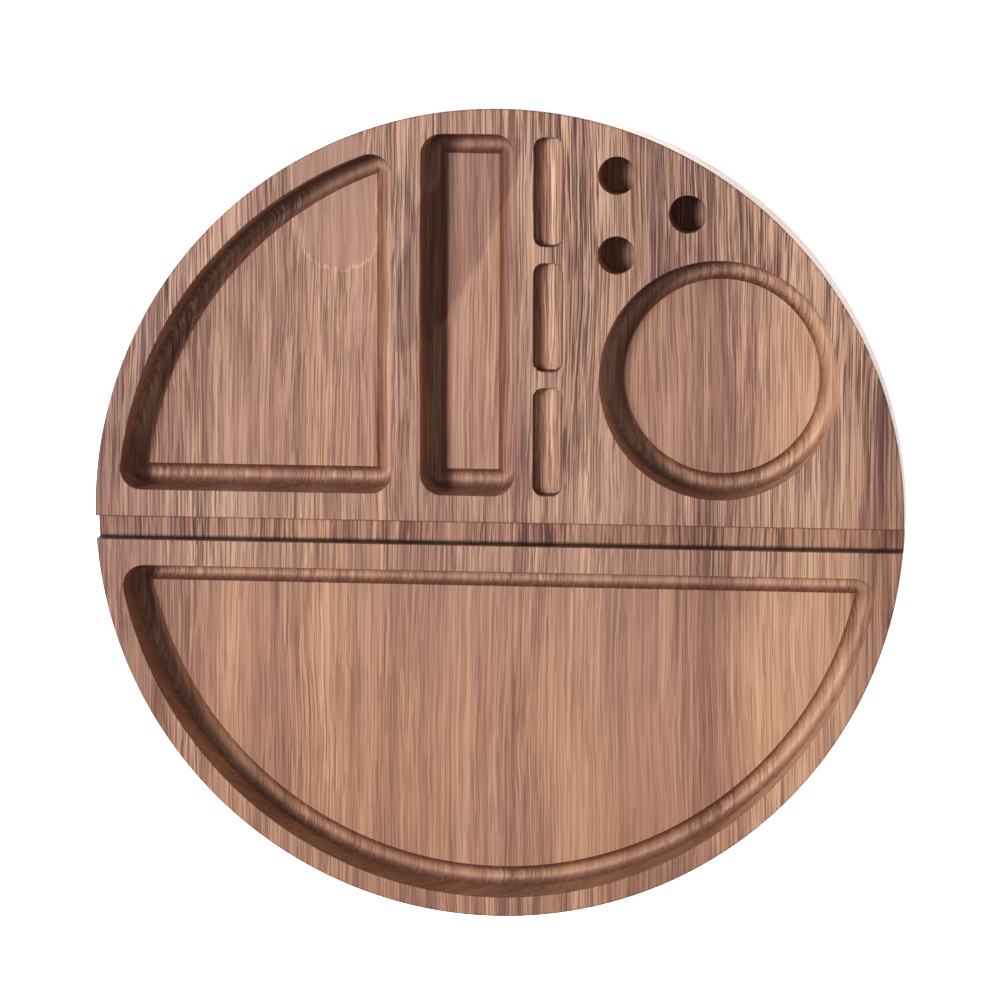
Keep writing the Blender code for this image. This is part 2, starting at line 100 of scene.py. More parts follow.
# rings of pieces: (how many, radius, angle of the first)
UPPER_SCREWS, LOWER_SCREWS = (6, 0.0760, 0.0), (4, 0.0440, DIAGONAL)
FEET, BALLS = (4, 0.0780, DIAGONAL), (12, RACE_CIRCLE, 0.0)
ACCESS_HOLE_RADIUS = 0.0060
SCREW_HEAD_RADIUS, SCREW_HEAD_HEIGHT, SCREW_RADIUS = 0.0030, 0.0016, 0.0015
SCREW_ROOT_RADIUS, SCREW_PITCH = 0.00115, 0.0011
RACE_SCREW_GRIP, FOOT_SCREW_GRIP, FOOT_RECESS = 0.0046, 0.0060, 0.0030
PIVOT_RADIUS, PIVOT_HEAD_HEIGHT = 0.0030, 0.0028
SOCKET_RADIUS, SOCKET_DEPTH = 0.0024, 0.0017
BUSH_RADIUS, BUSH_FLANGE = 0.0050, 0.0010
COUNTERBORE_RADIUS, COUNTERBORE_DEPTH = 0.0085, 0.0048

# ---- fineness of the meshes
CORNER_TURN = radians(25)    # a sharper turn in an outline than this is a real corner
SHARP_EDGE = radians(38)
MERGE_DISTANCE = 1e-7
DISC_STEPS = 240             # straight steps around a disc or ring


# ---- settings a user would change
def number_setting(name, description, default, low, high, unit="LENGTH", precision=4):
    return FloatProperty(name=name, description=description, default=default, min=low, max=high,
                         unit=unit, precision=precision)


def colour_setting(name, description, default):
    return FloatVectorProperty(name=name, description=description, default=default, subtype="COLOR",
                               size=3, min=0.0, max=1.0)


def share_setting(name, description, default):
    return FloatProperty(name=name, description=description, default=default, min=0.0, max=1.0,
                         subtype="FACTOR")


def angle_setting(name, description, degrees):
    return FloatProperty(name=name, description=description, default=radians(degrees), subtype="ANGLE")


class TraySizes(bpy.types.PropertyGroup):
    pocket_depth: number_setting("Pocket Depth", "Top face to the raised pocket floors", 0.0185, 0.005, 0.022)
    cove_radius: number_setting("Cove Radius", "Radius at the foot of a pocket wall", 0.0042, 0.001, 0.008)
    cove_drop: number_setting("Cove Drop", "How far the cove runs below the pocket floor", 0.0020, 0.0, 0.003)
    arris: number_setting("Arris", "Softening of the top edges", 0.00035, 0.0001, 0.002, precision=5)
    slot_depth: number_setting("Slot Depth", "Depth of the round-bottomed slots", 0.0066, 0.006, 0.02)
    hole_depth: number_setting("Hole Depth", "Depth of the three deep holes", 0.0200, 0.005, 0.022)
    groove_depth: number_setting("Groove Depth", "Depth of the groove from rim to rim", 0.0073, 0.003, 0.012)
    rim_steps: IntProperty(name="Rim Steps", description="Straight steps around the rim", default=360, min=96)
    cove_steps: IntProperty(name="Cove Steps", description="Steps across a cove", default=12, min=4)


class WoodFinish(bpy.types.PropertyGroup):
    light: colour_setting("Light Wood", "Lightest grain", (0.350, 0.205, 0.132))
    middle: colour_setting("Middle Wood", "Ground tone", (0.180, 0.082, 0.053))
    dark: colour_setting("Dark Wood", "Darkest streaks", (0.078, 0.028, 0.021))
    pore: colour_setting("Pores", "Open pores and short dark dashes", (0.048, 0.014, 0.011))
    roughness: share_setting("Roughness", "Satin of the oiled surface", 0.50)
    sheen: share_setting("Sheen", "Strength of the soft reflection of the oil", 0.28)


class HardwareFinish(bpy.types.PropertyGroup):
    steel: colour_setting("Steel", "Bright steel of the balls and screws", (0.70, 0.70, 0.71))
    zinc: colour_setting("Zinc", "Zinc-plated race rings", (0.58, 0.60, 0.62))
    brass: colour_setting("Brass", "Threaded insert", (0.76, 0.55, 0.23))
    nylon: colour_setting("Nylon", "Ball cage and bush", (0.78, 0.77, 0.72))
    rubber: colour_setting("Rubber", "Feet", (0.028, 0.028, 0.029))


class StudioSettings(bpy.types.PropertyGroup):
    floor: colour_setting("Floor", "Plain pale floor", (0.88, 0.88, 0.88))
    sky: number_setting("Sky", "Even light from all round", 0.62, 0.0, 5.0, "NONE")
    glow: number_setting("Floor Glow", "Light that the white floor gives by itself", 1.0, 0.0, 5.0, "NONE")
    key: number_setting("Key", "Power of the soft light at the left", 97.0, 0.0, 1000.0, "POWER")
    lens: number_setting("Lens", "Focal length of the camera in millimetres", 156.2, 20.0, 400.0, "NONE")
    azimuth: angle_setting("Azimuth", "Way to the camera, from +X towards +Y", 48.3)
    elevation: angle_setting("Elevation", "Height angle of the camera", 80.16)
    roll: angle_setting("Roll", "Turn of the camera about its own line of sight", 0.18)
    distance: number_setting("Distance", "Camera to the aim point", 1.596, 0.5, 10.0)


# ---- mesh helpers
def circle_points(count, radius, start=0.0):
    return [(radius * cos(start + tau * k / count), radius * sin(start + tau * k / count))
            for k in range(count)]


def arc(radius, start, end, steps):
    angles = [start + (end - start) * k / steps for k in range(steps + 1)]
    return [(radius * cos(angle), radius * sin(angle)) for angle in angles]


def eased(corners, steps=5):
    """Rounds the corners of an outline. Each corner is (across, up, radius)."""
    points = []
    for index, (across, up, radius) in enumerate(corners):
        here = Vector((across, up))
        if radius == 0.0:
            points.append((across, up))
            continue
        before = (Vector(corners[index - 1][:2]) - here).normalized()
        after = (Vector(corners[(index + 1) % len(corners)][:2]) - here).normalized()
        half = before.angle(after) / 2
        centre = here + (before + after).normalized() * radius / sin(half)
        first = here + before * radius / tan(half) - centre
        last = here + after * radius / tan(half) - centre
        turn = first.angle(last)
        for k in range(steps + 1):
            share = k / steps
            way = (first * sin((1 - share) * turn) + last * sin(share * turn)) / sin(turn)
            points.append(tuple(centre + way))
    return points


def revolve(bm, outline, steps, swell=None):
    """Revolves a closed (radius, height) outline about Z; swell() may change a radius."""
    circles = []
    for radius, height in outline:
        ring = []
        for k in range(steps):
            angle = tau * k / steps
            reach = swell(angle, radius, height) if swell else radius
            ring.append(bm.verts.new((reach * cos(angle), reach * sin(angle), height)))
        circles.append(ring)
    for index, (radius, _) in enumerate(outline):
        after = (index + 1) % len(outline)
        if radius == 0.0 and outline[after][0] == 0.0:
            continue
        for k in range(steps):
            m = (k + 1) % steps
            bm.faces.new((circles[index][k], circles[index][m], circles[after][m], circles[after][k]))


def turned(corners, steps, ease_steps=5):
    """New bmesh of an outline with eased corners, revolved about Z."""
    bm = bmesh.new()
    revolve(bm, eased(corners, ease_steps), steps)
    return bm


def skin_rings(bm, rings):
    """Joins a stack of rings of equal length with quads, and caps its two ends."""
    loops = [[bm.verts.new(point) for point in ring] for ring in rings]
    count = len(loops[0])
    for low, high in zip(loops, loops[1:]):
        for i in range(count):
            j = (i + 1) % count
            bm.faces.new((low[i], low[j], high[j], high[i]))
    bm.faces.new(list(reversed(loops[0])))
    bm.faces.new(loops[-1])


def drill(bm, x, y, low, high, radius, steps=48):
    """Adds one upright cylinder to a cutter."""
    bmesh.ops.create_cone(bm, cap_ends=True, segments=steps, radius1=radius, radius2=radius,
                          depth=high - low, matrix=Matrix.Translation((x, y, (low + high) / 2)))


def sunk_hole(bm, x, y, face, out, far, radius, ease, steps=32):
    """Adds a hole with an eased mouth to a cutter. out is +1 or -1, the way out of the face."""
    rows = [(0.0, far), (radius, far), (radius, face - out * ease),
            (radius + 0.3 * ease, face - out * 0.3 * ease), (radius + ease, face),
            (radius + ease, face + out * CUT_CLEAR), (0.0, face + out * CUT_CLEAR)]
    part = bmesh.new()
    revolve(part, rows, steps)
    bmesh.ops.translate(part, verts=part.verts, vec=(x, y, 0.0))
    bmesh.ops.remove_doubles(part, verts=part.verts, dist=MERGE_DISTANCE)
    bmesh.ops.recalc_face_normals(part, faces=part.faces)
    mesh = bpy.data.meshes.new("sunk_hole")
    part.to_mesh(mesh)
    part.free()
    bm.from_mesh(mesh)
    bpy.data.meshes.remove(mesh)


def screw_holes(bm, places, face, out, far):
    """Adds one hole with an eased mouth for each screw to a cutter."""
    for x, y in circle_points(*places):
        sunk_hole(bm, x, y, face, out, far, SCREW_RADIUS + GAP, GAP)


def new_mesh(name, bm):
    bmesh.ops.remove_doubles(bm, verts=bm.verts, dist=MERGE_DISTANCE)
    bmesh.ops.recalc_face_normals(bm, faces=bm.faces)
    mesh = bpy.data.meshes.new(name)
    bm.to_mesh(mesh)
    bm.free()
    return mesh


def new_object(name, mesh, place=(0.0, 0.0, 0.0)):
    piece = bpy.data.objects.new(name, mesh)
    bpy.context.scene.collection.objects.link(piece)
    piece.location = place
    return piece


def carve(name, bm, *cutters, joined=()):
    """Mesh of bm after the joined parts were added to it and the cutters were taken away."""
    blank = new_object("blank", new_mesh(name, bm))
    tools = []
    for operation, parts in (("UNION", joined), ("DIFFERENCE", cutters)):
        for part in parts:
            tool = new_object("tool", new_mesh("tool", part))
            modifier = blank.modifiers.new(tool.name, "BOOLEAN")
            modifier.operation = operation
            modifier.solver = "EXACT"
            modifier.object = tool
            tools.append(tool)
    depsgraph = bpy.context.evaluated_depsgraph_get()
    carved = bpy.data.meshes.new_from_object(blank.evaluated_get(depsgraph))
    for unwanted in [blank, *tools]:
        old = unwanted.data
        bpy.data.objects.remove(unwanted)
        bpy.data.meshes.remove(old)
    if not carved.polygons:
        raise RuntimeError("a Boolean left nothing of the piece")
    return carved


def finish_piece(name, mesh, material, body, nodes, place=(0.0, 0.0, 0.0)):
    """Makes the shown piece: smooth shading with crisp arrises, its finish, its body and its node."""
    mesh.name = name
    mesh.shade_smooth()
    mesh.set_sharp_from_angle(angle=SHARP_EDGE)
    mesh.materials.clear()
    mesh.materials.append(material)
    piece = new_object(name, mesh, place)
    weighted = piece.modifiers.new("even_normals", "WEIGHTED_NORMAL")
    weighted.keep_sharp = True
    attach(piece, body)
    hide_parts(*nodes)
    return piece


# ---- finishes
class Finish:
    """Short words for the nodes of one material."""

    def __init__(self, name):
        self.material = bpy.data.materials.new(name)
        self.material.use_nodes = True
        self.nodes = self.material.node_tree.nodes
        self.links = self.material.node_tree.links
        self.shader = self.nodes["Principled BSDF"]
        self.place = self.nodes.new("ShaderNodeTexCoord")

    def feed(self, socket, source):
        if isinstance(source, bpy.types.NodeSocket):
            self.links.new(source, socket)
        else:
            socket.default_value = source

    def sum(self, operation, first, second=0.0, third=0.0):
        node = self.nodes.new("ShaderNodeMath")
        node.operation = operation
        for socket, source in zip(node.inputs, (first, second, third)):
            self.feed(socket, source)
        return node.outputs[0]

    def vector_sum(self, operation, first, second):
        node = self.nodes.new("ShaderNodeVectorMath")
        node.operation = operation
        self.feed(node.inputs[0], first)
        self.feed(node.inputs[1], second)
        return node.outputs[0]

    def times(self, product, *factors):
        for factor in factors:
            product = self.sum("MULTIPLY", product, factor)
        return product

    def size(self, value):
        return self.sum("ABSOLUTE", value)

    def inverse(self, mask):
        return self.sum("SUBTRACT", 1.0, mask)

    def noise(self, where, scale, detail=2.0, roughness=0.5, colour=False):
        """Noise of one scale, or of one scale along each axis."""
        node = self.nodes.new("ShaderNodeTexNoise")
        if isinstance(scale, tuple):
            stretch = self.nodes.new("ShaderNodeMapping")
            self.feed(stretch.inputs["Vector"], where)
            stretch.inputs["Scale"].default_value = scale
            where, scale = stretch.outputs[0], 1.0
        for name, source in (("Vector", where), ("Scale", scale), ("Detail", detail),
                             ("Roughness", roughness)):
            self.feed(node.inputs[name], source)
        return node.outputs["Color" if colour else 0]

    def span(self, value, low, high, to_low=0.0, to_high=1.0, smooth=False):
        node = self.nodes.new("ShaderNodeMapRange")
        node.interpolation_type = "SMOOTHSTEP" if smooth else "LINEAR"
        for socket, source in zip(node.inputs, (value, low, high, to_low, to_high)):
            self.feed(socket, source)
        return node.outputs[0]

    def fade(self, mask, outside, inside):
        """One number where the mask is 0 and another where it is 1."""
        return self.span(mask, 0.0, 1.0, outside, inside)

    def ramp(self, factor, stops, blend="LINEAR"):
        node = self.nodes.new("ShaderNodeValToRGB")
        ramp = node.color_ramp
        ramp.interpolation = blend
        while len(ramp.elements) < len(stops):
            ramp.elements.new(0.5)
        for element, (position, colour) in zip(ramp.elements, stops):
            element.position = position
            element.color = (*colour, 1.0) if isinstance(colour, tuple) else (colour, colour, colour, 1.0)
        self.feed(node.inputs[0], factor)
        return node.outputs[0]

    def mixed(self, factor, first, second, blend="MIX"):
        node = self.nodes.new("ShaderNodeMix")
        node.data_type = "RGBA"
        node.blend_type = blend
        node.clamp_factor = True
        self.feed(node.inputs["Factor"], factor)
        for socket, source in ((node.inputs[6], first), (node.inputs[7], second)):
            self.feed(socket, (*source, 1.0) if isinstance(source, tuple) else source)
        return node.outputs[2]

    def tinted(self, mask, colour, tint):
        """Multiplies the colour by a tint where the mask is 1."""
        return self.mixed(mask, colour, self.mixed(1.0, colour, tint, "MULTIPLY"))

    def split(self, where):
        node = self.nodes.new("ShaderNodeSeparateXYZ")
        self.feed(node.inputs[0], where)
        return node.outputs

    def relief(self, height, distance):
        node = self.nodes.new("ShaderNodeBump")
        node.inputs["Distance"].default_value = distance
        self.feed(node.inputs["Height"], height)
        return node.outputs[0]

    def paint(self, **sockets):
        """Fills the shader's own sockets, named with _ for a space."""
        for name, source in sockets.items():
            self.feed(self.shader.inputs[name.replace("_", " ").title().replace("Ior", "IOR")], source)
        return self.material


# tone of the board from its west rim to its east rim: (share of the width, lightness)
BOARD_TONES = ((0.00, 0.28), (0.08, 0.42), (0.16, 0.56), (0.22, 0.46), (0.28, 0.60), (0.35, 0.58),
               (0.41, 0.44), (0.46, 0.62), (0.51, 0.58), (0.56, 0.62), (0.61, 0.66), (0.67, 0.50),
               (0.76, 0.46), (0.83, 0.78), (0.91, 0.84), (0.97, 0.46))
PLAIN_TONES = ((0.0, 0.42), (0.5, 0.52), (1.0, 0.42))
BOARD_SHIFT, BASE_SHIFT = (0.37, 0.21, 0.0), (1.91, 0.83, 0.4)    # where in the tree a piece was sawn

# layers of grain: (stretch, detail, noise that counts as darkest and as lightest, share of the tone)
GRAIN_LAYERS = (((92.0, 3.0, 16.0), 3.0, 0.30, 0.70, 0.26),
                ((317.0, 5.0, 55.0), 2.0, 0.35, 0.65, 0.32),
                ((1590.0, 10.0, 300.0), 2.5, 0.36, 0.64, 0.38),
                ((2800.0, 20.0, 600.0), 1.5, 0.36, 0.64, 0.34))
RING_SLANT = radians(35)     # growth rings against the board's thickness
DARK_TONE, MIDDLE_TONE, LIGHT_TONE = 0.02, 0.45, 0.98

# noise per metre along X, Y and Z
WANDER, QUIVER, LIVELY = (14.0, 4.5, 14.0), (110.0, 75.0, 110.0), (30.0, 4.0, 30.0)
DASHES, DRIFT, WARMTH = (2300.0, 32.0, 900.0), (60.0, 9.0, 60.0), (11.0, 6.0, 11.0)
MOTTLE, TOOL_MARKS, RAGGED = (620.0, 160.0, 620.0), (6.0, 6.0, 1500.0), (260.0, 90.0, 60.0)
WANDER_REACH, QUIVER_REACH = 0.012, 0.0006

# tongues of cathedral figure: (x, y of the tip's centre, half width, tip length, lean, tone, edge, calm)
BOARD_TONGUES = ((-0.0610, 0.1040, 0.0150, 0.0150, 0.00, -0.06, 0.22, 0.60),
                 (-0.0150, 0.1110, 0.0155, 0.0550, 0.42, -0.24, 0.00, 0.10))
TONGUES_END = 0.1385         # no tongue runs on into the north rim

# what the wood's colour is multiplied by
TAN, MILLED, PAINTED_COVE_SHADE = (1.02, 0.97, 0.86), (1.08, 1.05, 1.01), (0.84, 0.80, 0.77)
# painted light on the slot floors and on the walls facing east and west, painted shade on the slot walls
PAINTED_SLOT_LIGHT, PAINTED_SLOT_SHADE, PAINTED_WALL_LIGHT = (1.20, 1.27, 1.29), (0.36, 0.36, 0.40), (1.32, 1.30, 1.34)
END_GRAIN = (0.85, 0.82, 0.80)
# groove floor tints are partly wood tone and partly painted shade; GROOVE_FOOT is a painted shadow at the
# foot of the front wall
GROOVE_WEST_TONE_AND_SHADE, GROOVE_EAST_TONE_AND_SHADE, GROOVE_FOOT = (0.96, 0.91, 0.88), (0.86, 0.79, 0.75), (0.22, 0.17, 0.16)


class Walnut(Finish):
    """Oiled walnut in solid coordinates, grain along Y."""

    def __init__(self, name, wood, tones, shift, tongues=()):
        super().__init__(name)
        self.wood, self.tones, self.shift, self.tongues = wood, tones, shift, tongues
        self.where = self.place.outputs["Object"]
        self.x, self.y, self.z = self.split(self.where)
        self.faces_x, self.faces_y, faces_z = map(self.size, self.split(self.place.outputs["Normal"]))
        self.steep = self.inverse(faces_z)
        self.depth = self.sum("SUBTRACT", TRAY_TOP, self.z)
        radius = self.sum("SQRT", self.sum("ADD", self.times(self.x, self.x), self.times(self.y, self.y)))
        self.rim_wall = self.span(radius, TRAY_RADIUS - 0.0006, TRAY_RADIUS - 0.0002)
        self.below = self.span(self.depth, 0.0003, 0.0012, smooth=True)
        self.milled = self.times(self.below, self.inverse(self.rim_wall))
        self.groove = self.groove_mask()
        self.grain = self.grain_space()
        self.rings = self.slanted(self.grain)
        self.calm, self.tongue_tone, self.tongue_edge = self.tongue_masks()
        self.strength = self.grain_strength()
        self.pores = self.pore_mask()

    def shaken(self, where, stretch, detail, reach):
        """Coordinates moved about sideways by a smooth noise."""
        shake = self.noise(where, stretch, detail, colour=True)
        shake = self.vector_sum("SUBTRACT", shake, (0.5, 0.5, 0.5))
        return self.vector_sum("ADD", where, self.vector_sum("MULTIPLY", shake, (reach, 0.0, reach)))

    def grain_space(self):
        """Solid coordinates that wander gently, so that the grain is never ruler-straight."""
        moved = self.vector_sum("ADD", self.where, self.shift)
        moved = self.shaken(moved, WANDER, 3.0, WANDER_REACH)
        return self.shaken(moved, QUIVER, 2.0, QUIVER_REACH)

    def slanted(self, grain):
        """The same space turned about Y, so that growth rings cross the end grain at a slant."""
        node = self.nodes.new("ShaderNodeMapping")
        self.feed(node.inputs["Vector"], grain)
        node.inputs["Rotation"].default_value = (0.0, RING_SLANT, 0.0)
        return node.outputs[0]

    def groove_mask(self):
        """The cross groove's floor and walls, without the rim wall below it."""
        in_depth = self.times(self.span(self.depth, 0.0004, 0.0016, smooth=True),
                              self.span(self.depth, 0.0085, 0.0095, 1.0, 0.0))
        in_width = self.times(self.span(self.y, GROOVE_FRONT - 0.0008, GROOVE_FRONT - 0.0002),
                              self.span(self.y, GROOVE_BACK - 0.0002, GROOVE_BACK + 0.0006, 1.0, 0.0))
        return self.times(in_depth, in_width)

    def tongue_masks(self):
        """Calm, tone and pale edge of the tongues, joined."""
        calm, tone, edge = 0.0, 0.0, 0.0
        for x, y, half_width, length, lean, shade, bright, still in self.tongues:
            down = self.sum("SUBTRACT", y, self.y)
            across = self.sum("MULTIPLY_ADD", down, lean, self.sum("SUBTRACT", self.x, x))
            across = self.sum("DIVIDE", across, half_width)
            down = self.sum("MAXIMUM", self.sum("DIVIDE", down, length), 0.0)
            reach = self.sum("SQRT", self.sum("ADD", self.times(across, across), self.times(down, down)))
            ragged = self.noise(self.where, RAGGED, 3.0)
            reach = self.sum("MULTIPLY_ADD", self.sum("SUBTRACT", ragged, 0.5), 0.45, reach)
            inside = self.times(self.span(reach, 0.85, 1.0, 1.0, 0.0, smooth=True),
                                self.span(self.y, TONGUES_END, TONGUES_END + 0.002, 1.0, 0.0))
            calm = self.sum("MULTIPLY_ADD", inside, still, calm)
            tone = self.sum("MULTIPLY_ADD", inside, shade, tone)
            line = self.span(self.size(self.sum("SUBTRACT", reach, 1.0)), 0.0, 0.07, 1.0, 0.0, smooth=True)
            edge = self.sum("MULTIPLY_ADD", line, bright, edge)
        return calm, tone, edge

    def grain_strength(self):
        """How bold the grain is: bolder in drifts, to the north and in the groove, calmer where milled."""
        lively = self.span(self.noise(self.grain, LIVELY), 0.35, 0.65, 0.65, 1.25)
        northern = self.span(self.y, -TRAY_RADIUS, TRAY_RADIUS, 0.78, 1.25)
        return self.times(lively, northern, self.inverse(self.calm), self.fade(self.below, 1.0, 0.75),
                          self.fade(self.groove, 1.0, 1.6))

    def pore_mask(self):
        """Long thin dark pores, in drifts."""
        dashes = self.noise(self.rings, DASHES)
        drift = self.noise(self.grain, DRIFT, 3.0, roughness=0.6)
        start = self.span(drift, 0.35, 0.65, 0.58, 0.45)
        pores = self.span(dashes, start, self.sum("ADD", start, 0.12), smooth=True)
        return self.times(pores, self.times(self.strength, 0.62))

    def heartwood(self):
        """Broad staves and layers of streaks add up to the tone, which sets the colour."""
        across = self.split(self.vector_sum("SUBTRACT", self.grain, self.shift))[0]
        stave = self.ramp(self.span(across, -TRAY_RADIUS, TRAY_RADIUS), self.tones, "EASE")
        tone = self.sum("ADD", stave, self.tongue_tone)
        for stretch, detail, low, high, share in GRAIN_LAYERS:
            streak = self.noise(self.rings, stretch, detail, roughness=0.55)
            streak = self.span(streak, low, high, -0.5, 0.5)
            tone = self.sum("MULTIPLY_ADD", self.times(streak, self.strength), share, tone)
        # painted shade: the top face is darker towards the south rim
        south = self.times(self.span(self.y, -0.150, -0.115, -0.14, 0.0), self.inverse(self.below))
        tone = self.sum("ADD", self.sum("ADD", tone, self.tongue_edge), south)
        wood = self.wood
        colour = self.ramp(tone, ((DARK_TONE, tuple(wood.dark)), (MIDDLE_TONE, tuple(wood.middle)),
                                  (LIGHT_TONE, tuple(wood.light))))
        colour = self.mixed(self.pores, colour, tuple(wood.pore))

        # pinkish in places and tan in others
        warmth = self.noise(self.grain, WARMTH)
        warmth = self.span(self.sum("MULTIPLY_ADD", self.y, -1.2, warmth), 0.35, 0.65)
        return self.tinted(self.times(warmth, self.fade(self.calm, 1.0, 0.2)), colour, TAN)

    def machined_with_painted_shading(self, colour):
        """Milled faces are a little lighter; the rest is painted shading: shade in the coves and on the slot
        walls, light on the slot floors and on the walls facing east and west.
        """
        # painted shade: the coves are darkened, most on their end grain sides
        cove = self.times(self.span(self.steep, 0.02, 0.15), self.span(self.steep, 0.55, 0.9, 1.0, 0.0),
                          self.span(self.depth, 0.0120, 0.0150),
                          self.span(self.faces_y, 0.05, 0.5, 0.25, 1.0))
        # painted light on the slot floors and painted shade on the slot walls
        beside = self.size(self.sum("SUBTRACT", self.x, SLOT_CENTRE_X))
        slots = self.times(self.span(beside, SLOT_WIDTH / 2, SLOT_WIDTH / 2 + 0.0004, 1.0, 0.0),
                           self.span(self.y, 0.0, 0.004), self.milled)
        slot_wall = self.span(self.steep, 0.40, 0.65)
        # painted light on the pocket walls facing east and west
        painted_light_walls = self.times(self.sum("SUBTRACT", self.milled, slots), self.span(self.steep, 0.30, 0.60),
                           self.span(self.faces_x, 0.4, 0.8))
        for mask, tint in ((self.milled, MILLED), (cove, PAINTED_COVE_SHADE),
                           (self.times(slots, self.inverse(slot_wall)), PAINTED_SLOT_LIGHT),
                           (self.times(slots, slot_wall), PAINTED_SLOT_SHADE), (painted_light_walls, PAINTED_WALL_LIGHT)):
            colour = self.tinted(mask, colour, tint)
        return colour

    def oiled(self, colour):
        """End grain drinks more oil. The groove floor is darker, partly its wood's tone and partly painted
        shade, and a painted shadow lies at the foot of its front wall.
        """
        mottle = self.noise(self.grain, MOTTLE, 3.0, roughness=0.65)
        # on the rim wall most of the end-grain darkening is left out: painted light that keeps the side wall
        # pale
        end_grain = self.times(self.span(self.faces_y, 0.08, 0.75, smooth=True),
                               self.span(mottle, 0.35, 0.65, 1.0, 0.55), self.fade(self.rim_wall, 0.95, 0.3),
                               self.span(self.steep, 0.55, 0.95, 1.0, 0.0))
        colour = self.mixed(end_grain, colour, tuple(a * b for a, b in zip(self.wood.dark, END_GRAIN)))
        # painted shadow: near-black at the foot of the groove's front wall
        foot = self.span(self.y, GROOVE_FRONT + 0.0005, GROOVE_FRONT + 0.0014, 1.0, 0.0, smooth=True)
        # groove floor, west and east: partly the wood's tone and partly painted shade
        floor = self.mixed(self.span(self.x, 0.0, 0.06), GROOVE_WEST_TONE_AND_SHADE, GROOVE_EAST_TONE_AND_SHADE)
        return self.tinted(self.groove, colour, self.mixed(foot, floor, GROOVE_FOOT))

    def build(self):
        colour = self.oiled(self.machined_with_painted_shading(self.heartwood()))
        marks = self.sum("SUBTRACT", self.noise(self.where, TOOL_MARKS), 0.5)
        marks = self.times(marks, self.span(self.steep, 0.6, 0.95))
        tooth = self.sum("MULTIPLY_ADD", marks, 0.6, self.times(self.pores, -1.0))
        tooth = self.times(tooth, self.fade(self.rim_wall, 1.0, 0.25))
        rough = self.times(self.fade(self.pores, self.wood.roughness, self.wood.roughness + 0.25),
                           self.fade(self.rim_wall, 1.0, 0.45))
        return self.paint(base_color=colour, roughness=rough, specular_ior_level=self.wood.sheen,
                          normal=self.relief(tooth, 0.00012))


def plated(name, colour, metallic=1.0, roughness=0.32, grain=0.08):
    """Plated or bare metal: soft cloudy gloss with fine turning marks."""
    finish = Finish(name)
    where = finish.place.outputs["Object"]
    clouds = finish.noise(where, 260.0, 3.0)
    marks = finish.noise(where, (900.0, 900.0, 4200.0))
    shade = finish.mixed(finish.span(clouds, 0.3, 0.7), tuple(c * 0.86 for c in colour), tuple(colour))
    rough = finish.sum("MULTIPLY_ADD", finish.sum("SUBTRACT", marks, 0.5), grain * 2, roughness)
    return finish.paint(base_color=shade, metallic=metallic, roughness=rough,
                        normal=finish.relief(marks, 0.00002))


def moulded(name, colour, roughness, tooth):
    """Moulded nylon or rubber: fine even tooth and slight clouding."""
    finish = Finish(name)
    where = finish.place.outputs["Object"]
    clouds = finish.noise(where, 180.0, 3.0)
    fine = finish.noise(where, 5200.0)
    shade = finish.mixed(finish.span(clouds, 0.3, 0.7), tuple(c * 0.88 for c in colour), tuple(colour))
    rough = finish.sum("MULTIPLY_ADD", finish.sum("SUBTRACT", clouds, 0.5), 0.2, roughness)
    return finish.paint(base_color=shade, roughness=rough, normal=finish.relief(fine, tooth))


class BuildStep:
    """What the operators of the build share: make() does the work of one of them."""

    def execute(self, context):
        self.make(context.scene)
        return {"FINISHED"}


# ---- the tray
def cove_width(tray):
    return tray.cove_radius + sqrt(tray.cove_radius ** 2 - (tray.cove_radius - tray.cove_drop) ** 2)


def oblong_floor(cove):
    return [(OBLONG_WEST + cove, OBLONG_SOUTH + cove), (OBLONG_EAST - cove, OBLONG_SOUTH + cove),
            (OBLONG_EAST - cove, OBLONG_NORTH - cove), (OBLONG_WEST + cove, OBLONG_NORTH - cove)]


def quarter_floor(cove):
    radius = QUARTER_RADIUS - cove
    south, east = QUARTER_SOUTH + cove, QUARTER_EAST - cove
    start = acos(east / radius)
    end = pi - acos(sqrt(radius ** 2 - south ** 2) / radius)
    return arc(radius, start, end, 72) + [(east, south)]


def round_floor(cove):
    return [(ROUND_CENTRE[0] + x, ROUND_CENTRE[1] + y) for x, y in circle_points(144, ROUND_RADIUS - cove)]


def moon_floor(cove):
    radius = MOON_RADIUS - cove
    half_angle = acos((cove - MOON_NORTH) / radius)
    return arc(radius, -pi / 2 - half_angle, -pi / 2 + half_angle, 144)


def offset_ring(outline, distance, height, corner_steps=12):
    """Moves a convex outline outwards; real corners become fans."""
    ring = []
    count = len(outline)
    for i in range(count):
        before, here, after = (Vector(outline[(i + step) % count]) for step in (-1, 0, 1))
        into, out = (here - before).normalized(), (after - here).normalized()
        first, last = Vector((into.y, -into.x)), Vector((out.y, -out.x))
        turn = first.angle(last)
        if turn < CORNER_TURN:
            middle = (first + last).normalized()
            ring.append((here + middle * (distance / cos(turn / 2))).to_3d())
        else:
            for k in range(corner_steps + 1):
                way = Matrix.Rotation(turn * k / corner_steps, 2) @ first
                ring.append((here + way * distance).to_3d())
    for point in ring:
        point.z = height
    return ring


def mouth_rows(wall, arris):
    """(distance, height) rows of a rounded mouth, ending above the top face."""
    rows = []
    for k in range(4):
        angle = radians(27 * k)
        rows.append((wall + arris * (1 - cos(angle)), TRAY_TOP - arris * (1 - sin(angle))))
    rows.append((wall + arris * 1.1, TRAY_TOP + arris * 0.02))
    rows.append((wall + arris * 1.1, TRAY_TOP + CUT_CLEAR))
    return rows


def offset_cutter(outline, rows):
    """Cutter whose rings follow an outline at the (distance, height) of each row."""
    bm = bmesh.new()
    skin_rings(bm, [offset_ring(outline, distance, height) for distance, height in rows])
    return bm


